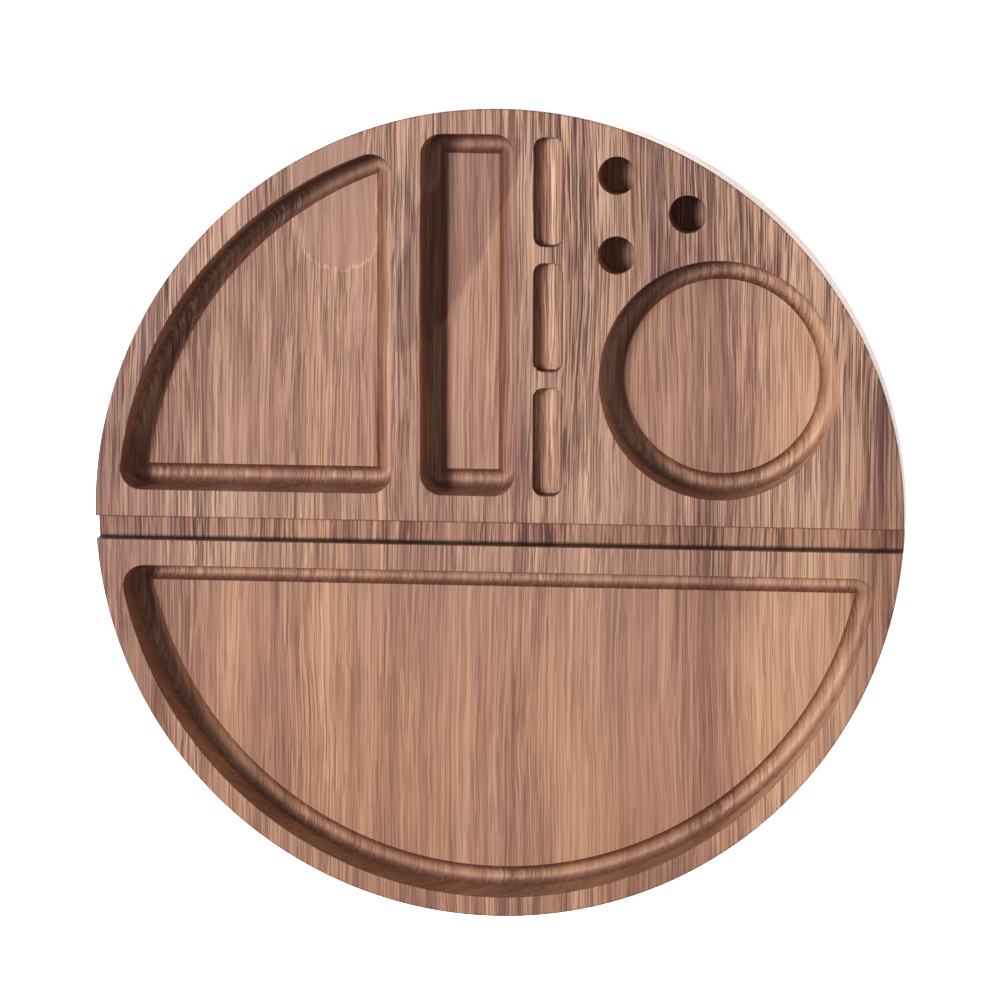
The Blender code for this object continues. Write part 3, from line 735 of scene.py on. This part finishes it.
def pocket_cutter(outline, tray):
    """Flat floor, cove that dips below it, upright wall and a softened mouth."""
    floor = TRAY_TOP - tray.pocket_depth
    centre_drop = tray.cove_radius - tray.cove_drop
    wall = cove_width(tray)
    first = -pi / 2 - acos(centre_drop / tray.cove_radius)
    rows = []
    for k in range(tray.cove_steps + 1):
        angle = first * (1 - k / tray.cove_steps)
        rows.append((max(wall - tray.cove_radius + tray.cove_radius * cos(angle), 0.0),
                     floor + centre_drop + tray.cove_radius * sin(angle)))
    return offset_cutter(outline, rows + mouth_rows(wall, tray.arris))


def slot_cutter(centre_y, tray, stations=28):
    """Rounded rectangle in plan; each column of points ends on the half-round bottom."""
    half_width, half_length = SLOT_WIDTH / 2, SLOT_LENGTH / 2
    foot = 0.0010            # chamfer between the bottom and the end walls
    rings = []
    for k in range(stations + 1):
        x = -half_width * cos(pi * k / stations)
        into_corner = max(abs(x) - (half_width - SLOT_CORNER), 0.0)
        reach = half_length - SLOT_CORNER + sqrt(max(SLOT_CORNER ** 2 - into_corner ** 2, 0.0))
        low = TRAY_TOP - tray.slot_depth + half_width - sqrt(max(half_width ** 2 - x ** 2, 0.0))
        ring = [(-reach, low + foot), (-reach + 0.3 * foot, low + 0.3 * foot), (-reach + foot, low),
                (reach - foot, low), (reach - 0.3 * foot, low + 0.3 * foot), (reach, low + foot),
                (reach, TRAY_TOP + CUT_CLEAR), (-reach, TRAY_TOP + CUT_CLEAR)]
        rings.append([(SLOT_CENTRE_X + x, centre_y + along, height) for along, height in ring])
    bm = bmesh.new()
    skin_rings(bm, rings)
    return bm


def slot_mouth_cutter(centre_y, tray):
    """Thin flared plug that softens the mouth of a slot."""
    half_width, half_length = SLOT_WIDTH / 2 - SLOT_CORNER, SLOT_LENGTH / 2 - SLOT_CORNER
    outline = [(SLOT_CENTRE_X + x, centre_y + y) for x, y in (
        (-half_width, -half_length), (half_width, -half_length), (half_width, half_length),
        (-half_width, half_length))]
    return offset_cutter(outline, mouth_rows(SLOT_CORNER, tray.arris))


def groove_cutter(tray, foot_steps=10):
    floor = TRAY_TOP - tray.groove_depth
    foot_y, foot_z = GROOVE_BACK - GROOVE_FOOT_RADIUS, floor + GROOVE_FOOT_RADIUS
    section = [(GROOVE_FRONT + GROOVE_FRONT_LEAN, floor)]
    for y, z in arc(GROOVE_FOOT_RADIUS, -pi / 2, 0.0, foot_steps):
        section.append((foot_y + y, foot_z + z))
    mouth = mouth_rows(0.0, tray.arris)
    section += [(GROOVE_BACK + outward, height) for outward, height in mouth]
    section += [(GROOVE_FRONT - outward, height) for outward, height in reversed(mouth)]
    reach = TRAY_RADIUS + CUT_CLEAR
    bm = bmesh.new()
    skin_rings(bm, [[(x, y, z) for y, z in section] for x in (-reach, reach)])
    return bm


class CAROUSEL_OT_tray(BuildStep, bpy.types.Operator):
    """Turn the walnut board and mill its pockets, slots, holes and groove"""
    bl_idname = "carousel.tray"
    bl_label = "Tray"

    def make(self, scene):
        tray, wood = scene.carousel_tray, scene.carousel_wood
        rounding = 0.0008
        blank = turned([(0.0, TRAY_BOTTOM, 0.0), (TRAY_RADIUS, TRAY_BOTTOM, rounding),
                        (TRAY_RADIUS, TRAY_TOP, rounding), (0.0, TRAY_TOP, 0.0)], tray.rim_steps)
        cove = cove_width(tray)
        tools = [pocket_cutter(floor(cove), tray)
                 for floor in (oblong_floor, quarter_floor, round_floor, moon_floor)]
        tools += [cutter(centre_y, tray) for cutter in (slot_cutter, slot_mouth_cutter)
                  for centre_y in SLOT_CENTRES_Y]
        tools.append(groove_cutter(tray))
        holes = bmesh.new()
        for x, y in HOLE_CENTRES:
            sunk_hole(holes, x, y, TRAY_TOP, 1, TRAY_TOP - tray.hole_depth, HOLE_RADIUS, tray.arris, 64)
        screw_holes(holes, UPPER_SCREWS, TRAY_BOTTOM, -1, TRAY_BOTTOM + RACE_SCREW_GRIP + GAP)
        sunk_hole(holes, 0.0, 0.0, TRAY_BOTTOM, -1, INSERT_HIGH.z + GAP, INSERT_HIGH.x + GAP, GAP)
        mesh = carve("tray", blank, *tools, holes)
        material = Walnut("oiled_walnut_board", wood, BOARD_TONES, BOARD_SHIFT, BOARD_TONGUES).build()
        finish_piece("walnut_tray", mesh, material, "tray", ["tray_board"])


# ---- the base and its feet
class CAROUSEL_OT_base(BuildStep, bpy.types.Operator):
    """Turn the wooden base disc with its counterbore and screw holes"""
    bl_idname = "carousel.base"
    bl_label = "Base Disc"

    def make(self, scene):
        bore, shoulder = BUSH_RADIUS + GAP, BASE_BOTTOM + COUNTERBORE_DEPTH
        rounding, ease = 0.0012, 0.0003
        blank = turned([(COUNTERBORE_RADIUS, BASE_BOTTOM, ease), (BASE_RADIUS, BASE_BOTTOM, rounding),
                        (BASE_RADIUS, BASE_TOP, rounding), (bore, BASE_TOP, ease), (bore, shoulder, ease),
                        (COUNTERBORE_RADIUS, shoulder, 0.0)], DISC_STEPS)
        holes = bmesh.new()
        screw_holes(holes, LOWER_SCREWS, BASE_TOP, 1, BASE_TOP - RACE_SCREW_GRIP - GAP)
        screw_holes(holes, FEET, BASE_BOTTOM, -1, BASE_BOTTOM + FOOT_SCREW_GRIP + GAP)
        drill(holes, 0.0, UPPER_SCREWS[1], BASE_BOTTOM - CUT_CLEAR, BASE_TOP + CUT_CLEAR, ACCESS_HOLE_RADIUS)
        mesh = carve("base", blank, holes)
        material = Walnut("oiled_walnut_base", scene.carousel_wood, PLAIN_TONES, BASE_SHIFT).build()
        finish_piece("walnut_base", mesh, material, "base", ["base_disc"])


class CAROUSEL_OT_feet(BuildStep, bpy.types.Operator):
    """Mould the four rubber feet with ribbed soles"""
    bl_idname = "carousel.feet"
    bl_label = "Rubber Feet"

    def make(self, scene):
        top, reach = FOOT_HIGH.z, (FOOT_HIGH.x - FOOT_LOW.x) / 2
        hole, recess = SCREW_RADIUS + GAP, SCREW_HEAD_RADIUS + 2 * GAP
        sole = reach - 0.0010
        rib = 0.0004
        corners = [(recess, 0.0, 0.0003)]
        for middle in (0.0046, 0.0056, 0.0066):
            corners += [(middle + side * rib, up, 0.0) for side, up in (
                (-0.75, 0.0), (-0.375, rib), (0.375, rib), (0.75, 0.0))]
        corners = [corner for corner in corners if corner[0] < sole - 0.0002]
        corners += [(sole, 0.0, 0.0005), (reach, top * 0.4, 0.0012), (reach, top, 0.0006),
                    (hole, top, 0.0002), (hole, FOOT_RECESS, 0.0), (recess, FOOT_RECESS, 0.0002)]
        material = moulded("black_rubber", scene.carousel_hardware.rubber, 0.72, 0.00003)
        for number, (x, y) in enumerate(circle_points(*FEET), 1):
            finish_piece("foot_%d" % number, new_mesh("foot", turned(corners, 64, 4)), material, "base",
                         ["rubber_foot_%d" % number], (x, y, 0.0))


# ---- the ball race
def race_track(side, steps=16):
    """Arc of the ball track. side is 1 for a track below the balls and -1 for one above."""
    radius = BALL_RADIUS + BALL_CLEARANCE
    face_gap = UPPER_LOW.z - LOWER_HIGH.z
    half = acos(face_gap / 2 / radius)
    return [(RACE_CIRCLE + radius * sin(half - 2 * half * k / steps),
             BALL_HEIGHT - side * radius * cos(half - 2 * half * k / steps)) for k in range(steps + 1)]


class CAROUSEL_OT_race(BuildStep, bpy.types.Operator):
    """Press the two zinc-plated race rings with their ball tracks"""
    bl_idname = "carousel.race"
    bl_label = "Race Rings"

    def make(self, scene):
        material = plated("zinc_plate", scene.carousel_hardware.zinc, roughness=0.34)
        ease = 0.0004
        for side, low, high, inner, screws, name, body in (
                (1, LOWER_LOW, LOWER_HIGH, LOWER_RACE_INNER, LOWER_SCREWS, "lower_race", "base"),
                (-1, UPPER_LOW, UPPER_HIGH, UPPER_RACE_INNER, UPPER_SCREWS, "upper_race", "tray")):
            face, back = (high.z, low.z) if side > 0 else (low.z, high.z)
            corners = [(inner, back, ease), (high.x, back, ease), (high.x, face, ease)]
            corners += [(across, up, 0.0) for across, up in race_track(side)] + [(inner, face, ease)]
            holes = bmesh.new()
            screw_holes(holes, screws, face, side, back - side * CUT_CLEAR)
            mesh = carve(name, turned(corners, DISC_STEPS, 4), holes)
            finish_piece(name, mesh, material, body, [name + "_ring"])


class CAROUSEL_OT_cage(BuildStep, bpy.types.Operator):
    """Mould the ball cage and set the twelve balls in it"""
    bl_idname = "carousel.cage"
    bl_label = "Ball Cage and Balls"

    def make(self, scene):
        hardware = scene.carousel_hardware
        low, high, outer = CAGE_LOW.z, CAGE_HIGH.z, CAGE_HIGH.x
        ease, collar_height, collar_wall = 0.0003, 0.00095, 0.0009
        blank = turned([(CAGE_INNER, low, ease), (outer, low, ease), (outer, high, ease),
                        (CAGE_INNER, high, ease)], DISC_STEPS, 4)
        pocket = BALL_RADIUS + GAP
        collars, bores = bmesh.new(), bmesh.new()
        for x, y in circle_points(*BALLS):
            drill(collars, x, y, BALL_HEIGHT - collar_height, BALL_HEIGHT + collar_height,
                  pocket + collar_wall)
            drill(bores, x, y, low - CUT_CLEAR, high + CUT_CLEAR, pocket)
        nylon = moulded("white_nylon", hardware.nylon, 0.45, 0.00001)
        finish_piece("cage_ring", carve("cage", blank, bores, joined=[collars]), nylon, "cage",
                     ["ball_cage"])
        steel = plated("bearing_steel", hardware.steel, roughness=0.12, grain=0.02)
        rows = [(BALL_RADIUS * sin(pi * k / 24), -BALL_RADIUS * cos(pi * k / 24)) for k in range(25)]
        rows[0], rows[-1] = (0.0, -BALL_RADIUS), (0.0, BALL_RADIUS)
        for number, (x, y) in enumerate(circle_points(*BALLS), 1):
            bm = bmesh.new()
            revolve(bm, rows, 48)
            finish_piece("ball_%02d" % number, new_mesh("ball", bm), steel, "cage",
                         ["bearing_ball_%02d" % number], (x, y, BALL_HEIGHT))


# ---- fasteners
def thread(crest, root, pitch, low, high, lead_in):
    """swell() for a screw thread between two heights; it fades out over lead_in at both ends."""
    def swell(angle, radius, height):
        if radius < root or not low <= height <= high:
            return radius
        phase = (height / pitch - angle / tau) % 1.0
        ridge = max(0.0, 1.0 - abs(phase - 0.5) * 3.2)
        fade = min(1.0, (height - low) / lead_in, (high - height) / lead_in)
        return root + (crest - root) * ridge * max(fade, 0.0)
    return swell


def thread_rows(radius, start, end, pitch):
    """Rows close enough together to carry a thread."""
    count = max(2, round(abs(end - start) / pitch * 10))
    return [(radius, start + (end - start) * k / count) for k in range(count + 1)]


def cross_recess(bm, crown, into):
    """Adds a tapered cross to a cutter. into is +1 or -1, the way into the head."""
    levels = ((0.00042, 0.0019, -0.0004), (0.00036, 0.0017, 0.0), (0.00022, 0.0008, 0.0011))
    for east, north in ((1, 0), (0, 1)):
        skin_rings(bm, [[(x * length * east - y * width * north, x * length * north + y * width * east,
                          crown + into * height) for x, y in ((-1, -1), (1, -1), (1, 1), (-1, 1))]
                        for width, length, height in levels])


def wood_screw(head_crown, tip):
    """Pan-head wood screw with a cross recess, on the Z axis. The crown is the far side from the tip."""
    up = 1.0 if tip > head_crown else -1.0
    seat = head_crown + up * SCREW_HEAD_HEIGHT
    point = tip - up * 0.0014
    head = eased([(0.0, head_crown, 0.0), (SCREW_HEAD_RADIUS * 0.8, head_crown + up * 0.0001, 0.0006),
                  (SCREW_HEAD_RADIUS, head_crown + up * 0.0009, 0.0004), (SCREW_HEAD_RADIUS, seat, 0.00015),
                  (SCREW_ROOT_RADIUS, seat, 0.0)], 4)
    rows = head[:-1] + thread_rows(SCREW_ROOT_RADIUS, seat, point, SCREW_PITCH)
    rows += [(SCREW_ROOT_RADIUS * 0.5, tip - up * 0.0004), (0.0, tip)]
    low, high = sorted((seat, point))
    bm = bmesh.new()
    revolve(bm, rows, 32, thread(SCREW_RADIUS, SCREW_ROOT_RADIUS, SCREW_PITCH, low, high, SCREW_PITCH * 0.6))
    cross = bmesh.new()
    cross_recess(cross, head_crown, up)
    return carve("screw", bm, cross)


class CAROUSEL_OT_screws(BuildStep, bpy.types.Operator):
    """Make the pan-head screws of the race rings and the feet"""
    bl_idname = "carousel.screws"
    bl_label = "Screws"

    def make(self, scene):
        material = plated("screw_steel", scene.carousel_hardware.steel, roughness=0.26)
        for stem, body, places, crown, tip in (
                ("upper_race_screw", "tray", UPPER_SCREWS, UPPER_LOW.z - GAP - SCREW_HEAD_HEIGHT,
                 TRAY_BOTTOM + RACE_SCREW_GRIP),
                ("lower_race_screw", "base", LOWER_SCREWS, LOWER_HIGH.z + GAP + SCREW_HEAD_HEIGHT,
                 BASE_TOP - RACE_SCREW_GRIP),
                ("foot_screw", "base", FEET, FOOT_RECESS - GAP - SCREW_HEAD_HEIGHT,
                 BASE_BOTTOM + FOOT_SCREW_GRIP)):
            pattern = wood_screw(crown, tip)
            for number, (x, y) in enumerate(circle_points(*places), 1):
                node = "%s_%d" % (stem, number)
                finish_piece(node.replace("screw", "fixing"), pattern.copy(), material, body, [node],
                             (x, y, 0.0))
            bpy.data.meshes.remove(pattern)


class CAROUSEL_OT_pivot(BuildStep, bpy.types.Operator):
    """Make the pivot bolt, its washer, the nylon bush and the brass insert"""
    bl_idname = "carousel.pivot"
    bl_label = "Pivot"

    def make(self, scene):
        hardware = scene.carousel_hardware
        self.make_bolt(hardware)
        bore, flange = PIVOT_RADIUS + GAP, BUSH_LOW.z + BUSH_FLANGE
        for name, corners, material, body, slot, node in (
                ("washer", [(bore, WASHER_LOW.z, 0.0001), (WASHER_HIGH.x, WASHER_LOW.z, 0.0002),
                            (WASHER_HIGH.x, WASHER_HIGH.z, 0.0002), (bore, WASHER_HIGH.z, 0.0001)],
                 plated("washer_steel", hardware.steel, roughness=0.3), "tray", "steel", "thrust_washer"),
                ("flanged_bush", [(bore, BUSH_LOW.z, 0.0002), (BUSH_HIGH.x, BUSH_LOW.z, 0.0003),
                                  (BUSH_HIGH.x, flange, 0.0003), (BUSH_RADIUS, flange, 0.0001),
                                  (BUSH_RADIUS, BUSH_HIGH.z, 0.0003), (bore, BUSH_HIGH.z, 0.0002)],
                 moulded("bush_nylon", hardware.nylon, 0.4, 0.00001), "base", "nylon", "pivot_bush")):
            finish_piece(name, new_mesh(name, turned(corners, 96, 4)), material, body, [node])
        self.make_insert(hardware, bore)

    def make_bolt(self, hardware):
        crown, seat, tip, head_radius = BOLT_LOW.z, BOLT_LOW.z + PIVOT_HEAD_HEIGHT, BOLT_HIGH.z, BOLT_HIGH.x
        root, pitch, start = 0.00255, 0.0010, INSERT_LOW.z - 0.001
        rows = eased([(0.0, crown, 0.0), (head_radius * 0.72, crown, 0.0012),
                      (head_radius, crown + 0.0014, 0.0008), (head_radius, seat, 0.0002),
                      (PIVOT_RADIUS, seat, 0.0002)])
        rows += [(PIVOT_RADIUS, start)] + thread_rows(root, start + 0.0002, tip - 0.0006, pitch)
        rows += [(root * 0.85, tip), (0.0, tip)]
        bm, socket = bmesh.new(), bmesh.new()
        revolve(bm, rows, 64, thread(PIVOT_RADIUS, root, pitch, start + 0.0001, tip - 0.0005, pitch * 0.5))
        drill(socket, 0.0, 0.0, crown - SOCKET_DEPTH, crown + SOCKET_DEPTH, SOCKET_RADIUS, 6)
        steel = plated("bolt_steel", hardware.steel, roughness=0.24)
        finish_piece("pivot_screw", carve("bolt", bm, socket), steel, "tray", ["pivot_bolt"])

    def make_insert(self, hardware, bore):
        low, high, crest = INSERT_LOW.z, INSERT_HIGH.z, INSERT_HIGH.x
        root, pitch = 0.0039, 0.0020
        rows = [(bore, low), (crest, low), (crest, low + 0.0006)]
        rows += thread_rows(root, low + 0.0008, high - 0.0004, pitch) + [(root - 0.0002, high), (bore, high)]
        bm, slot = bmesh.new(), bmesh.new()
        revolve(bm, rows, 64, thread(crest, root, pitch, low + 0.0007, high - 0.0003, pitch * 0.5))
        bmesh.ops.create_cube(slot, size=1.0, matrix=Matrix.Translation((0.0, 0.0, low))
                              @ Matrix.Diagonal((0.012, 0.0011, 0.0024, 1.0)))
        brass = plated("turned_brass", hardware.brass, roughness=0.28)
        finish_piece("brass_insert", carve("insert", bm, slot), brass, "tray", ["threaded_insert"])


# ---- the stage
WHITE = (1.0, 1.0, 1.0, 1.0)
KEY_PLACE = Vector((-1.08, 0.22, 2.36))
CAMERA_AIM = Vector((0.0017, 0.0065, TRAY_TOP))


class CAROUSEL_OT_stage(BuildStep, bpy.types.Operator):
    """Set up the pale floor, the sky, the key light and the camera"""
    bl_idname = "carousel.stage"
    bl_label = "Stage"

    def make(self, scene):
        studio = scene.carousel_studio
        self.make_floor(studio)
        self.make_sky(scene, studio)
        self.make_key(studio)
        self.make_camera(scene, studio)
        scene.view_settings.view_transform = "Standard"

    def make_floor(self, studio):
        bm = bmesh.new()
        bmesh.ops.create_circle(bm, cap_ends=True, segments=96, radius=6.0)
        floor = new_object("studio_floor", new_mesh("studio_floor", bm))
        floor.data.materials.append(Finish("pale_floor").paint(
            base_color=(*studio.floor, 1.0), roughness=0.9, emission_color=WHITE,
            emission_strength=studio.glow))

    def make_sky(self, scene, studio):
        """Even light that the camera itself sees as plain white."""
        world = bpy.data.worlds.new("studio_sky")
        world.use_nodes = True
        nodes, links = world.node_tree.nodes, world.node_tree.links
        sky, backdrop = nodes["Background"], nodes.new("ShaderNodeBackground")
        seen, either = nodes.new("ShaderNodeLightPath"), nodes.new("ShaderNodeMixShader")
        for light, strength in ((sky, studio.sky), (backdrop, 1.0)):
            light.inputs["Color"].default_value = WHITE
            light.inputs["Strength"].default_value = strength
        for source, target in ((seen.outputs["Is Camera Ray"], either.inputs[0]),
                               (sky.outputs[0], either.inputs[1]), (backdrop.outputs[0], either.inputs[2]),
                               (either.outputs[0], nodes["World Output"].inputs["Surface"])):
            links.new(source, target)
        scene.world = world

    def make_key(self, studio):
        light = bpy.data.lights.new("key_light", "AREA")
        light.shape = "DISK"
        light.size = 0.6
        light.energy = studio.key
        lamp = new_object("key_light", light, KEY_PLACE)
        lamp.rotation_euler = (Vector((0.0, 0.0, TRAY_TOP)) - KEY_PLACE).to_track_quat("-Z", "Y").to_euler()
        lamp.visible_camera = False

    def make_camera(self, scene, studio):
        lens = bpy.data.cameras.new("studio_camera")
        lens.lens = studio.lens
        lens.sensor_width = 36.0
        lens.clip_start, lens.clip_end = 0.05, 50.0
        camera = new_object("studio_camera", lens)
        level = cos(studio.elevation)
        out = Vector((level * cos(studio.azimuth), level * sin(studio.azimuth), sin(studio.elevation)))
        right = Vector((0.0, 1.0, 0.0)).cross(out).normalized()
        up = out.cross(right)
        lean, stand = sin(studio.roll), cos(studio.roll)
        axes = Matrix((right * stand + up * lean, up * stand - right * lean, out)).transposed()
        camera.matrix_world = Matrix.Translation(CAMERA_AIM + out * studio.distance) @ axes.to_4x4()
        scene.camera = camera


# ---- add-on
class CAROUSEL_PT_pieces(bpy.types.Panel):
    bl_label = "Chip Carousel"
    bl_idname = "CAROUSEL_PT_pieces"
    bl_space_type = "VIEW_3D"
    bl_region_type = "UI"
    bl_category = "Carousel"

    def draw(self, context):
        for step in STEPS:
            self.layout.operator(step.bl_idname)
        for group, settings in GROUPS.items():
            box = self.layout.box()
            box.label(text=settings.__name__)
            for name in settings.__annotations__:
                box.prop(getattr(context.scene, group), name)


STEPS = (CAROUSEL_OT_tray, CAROUSEL_OT_base, CAROUSEL_OT_feet, CAROUSEL_OT_race, CAROUSEL_OT_cage,
         CAROUSEL_OT_screws, CAROUSEL_OT_pivot, CAROUSEL_OT_stage)
GROUPS = {"carousel_tray": TraySizes, "carousel_wood": WoodFinish, "carousel_hardware": HardwareFinish,
          "carousel_studio": StudioSettings}


def register():
    for cls in (*GROUPS.values(), *STEPS, CAROUSEL_PT_pieces):
        bpy.utils.register_class(cls)
    for name, settings in GROUPS.items():
        setattr(bpy.types.Scene, name, PointerProperty(type=settings))


def unregister():
    for name in GROUPS:
        delattr(bpy.types.Scene, name)
    for cls in reversed((*GROUPS.values(), *STEPS, CAROUSEL_PT_pieces)):
        bpy.utils.unregister_class(cls)


def main():
    register()
    for step in STEPS:
        group, name = step.bl_idname.split(".")
        getattr(getattr(bpy.ops, group), name)()


if __name__ == "__main__":
    main()
